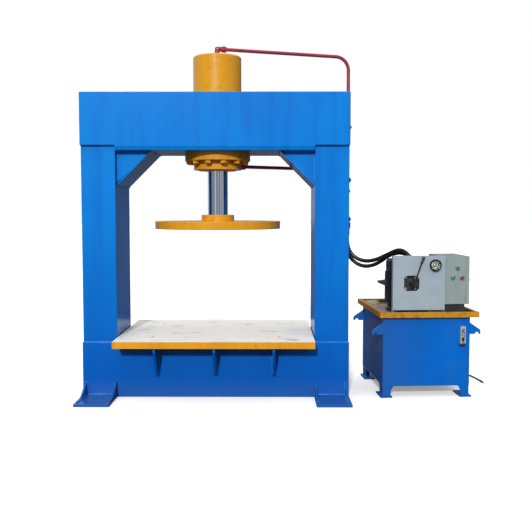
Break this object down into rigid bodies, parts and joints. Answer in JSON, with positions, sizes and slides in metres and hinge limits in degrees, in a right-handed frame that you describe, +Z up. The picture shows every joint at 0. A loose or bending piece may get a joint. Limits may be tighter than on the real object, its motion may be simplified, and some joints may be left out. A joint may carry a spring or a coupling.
{
  "type": "hydraulic press",
  "caption": "Straight-side hydraulic press with a round platen on its central ram, a plate table, and a separate hydraulic power unit joined by hoses.",
  "frame": {"origin": "on the floor, at the centre of the four anchor holes, under the ram's axis", "axes": "+Z up along the ram, +X across the press towards the power unit, +Y towards the back"},
  "size_m": [2.5175, 1.1583, 2.1377],
  "materials": {
    "blue_paint": "gloss paint",
    "yellow_paint": "gloss paint",
    "machined_steel": "machined",
    "chrome_rod": "polished chrome",
    "black_fasteners": "blackened",
    "plated_fittings": "zinc plated",
    "red_pipe": "gloss paint",
    "black_rubber": "satin",
    "blue_clamps": "satin",
    "panel_grey": "satin paint",
    "box_grey": "textured paint",
    "black_metal": "semi-gloss paint",
    "steel_parts": "bright",
    "black_plastic": "satin",
    "white_dial": "matt",
    "clear_glass": "clear",
    "green_plastic": "gloss",
    "red_plastic": "gloss"
  },
  "bodies": {
    "press": {"anchor_feet": "blue_paint", "base_plates": "blue_paint", "beam_cheeks": "blue_paint", "beam_inner_plates": "blue_paint", "box_stand": "black_metal", "button_bezels": "plated_fittings", "cable_gland": "black_plastic", "columns": "blue_paint", "control_box": "box_grey", "corner_haunches": "blue_paint", "cover_panel": "panel_grey", "cylinder_barrel": "yellow_paint", "cylinder_flange": "yellow_paint", "door_hinges": "plated_fittings", "drip_tray": "yellow_paint", "filler_breather": "black_plastic", "flange_bolts": "black_fasteners", "gauge_case": "steel_parts", "gauge_dial": "white_dial", "gauge_glass": "clear_glass", "gear_pump": "machined_steel", "hose_adaptors": "plated_fittings", "hose_ferrules": "plated_fittings", "level_gauge_frame": "chrome_rod", "level_gauge_glass": "clear_glass", "lifting_hooks": "blue_paint", "lower_hose": "black_rubber", "motor_fan_cover": "black_metal", "motor_housing": "black_metal", "motor_terminal_box": "black_metal", "oil_pipes": "red_pipe", "pilot_lamp": "green_plastic", "pipe_clamps": "blue_clamps", "pipe_fittings": "plated_fittings", "rod_gland": "yellow_paint", "rod_seals": "black_rubber", "supply_cable": "black_rubber", "switchgear": "black_plastic", "table_plate": "machined_steel", "table_ribs": "blue_paint", "tank_legs": "blue_paint", "tank_shell": "blue_paint", "unit_fasteners": "black_fasteners", "upper_hose": "black_rubber", "valve_body": "black_metal", "valve_manifold": "black_metal"},
    "ram": {"piston_rod": "chrome_rod", "piston": "machined_steel", "piston_seals": "black_rubber", "rod_hub": "yellow_paint", "hub_screws": "black_fasteners", "platen": "yellow_paint"},
    "lever": {"valve_lever": "steel_parts", "lever_grip": "black_rubber"},
    "start": {"start_button": "green_plastic"},
    "stop": {"stop_button": "red_plastic"},
    "door": {"box_door": "box_grey"},
    "pointer": {"gauge_pointer": "black_plastic"},
    "rotor": {"motor_rotor": "steel_parts", "motor_fan": "black_plastic"}
  },
  "joints": [
    {"name": "ram_slide", "type": "slide", "parent": "press", "child": "ram", "axis": [0, 0, -1], "range_m": [-0.27, 0.18]},
    {"name": "valve_lever_pivot", "type": "hinge", "parent": "press", "child": "lever", "pos_m": [1.19166, -0.23154, 0.686], "axis": [-0.0663, 0.9978, 0], "range_deg": [-14, 14], "stiffness_Nm_per_rad": 4},
    {"name": "start_button_press", "type": "slide", "parent": "press", "child": "start", "axis": [-0.0663, 0.9978, 0], "range_m": [0, 0.004], "stiffness_N_per_m": 400},
    {"name": "stop_button_press", "type": "slide", "parent": "press", "child": "stop", "axis": [-0.0663, 0.9978, 0], "range_m": [0, 0.004], "stiffness_N_per_m": 400},
    {"name": "box_door_hinge", "type": "hinge", "parent": "press", "child": "door", "pos_m": [1.50454, 0.18812, 0.7], "axis": [0, 0, 1], "range_deg": [0, 110]},
    {"name": "gauge_pointer_turn", "type": "hinge", "parent": "press", "child": "pointer", "pos_m": [1.31994, -0.23154, 0.796], "axis": [-0.0663, 0.9978, 0], "range_deg": [0, 270], "stiffness_Nm_per_rad": 0.002},
    {"name": "motor_spin", "type": "hinge", "parent": "press", "child": "rotor", "pos_m": [1.16972, 0.06867, 0.6], "axis": [0, 0, 1], "continuous": true}
  ]
}
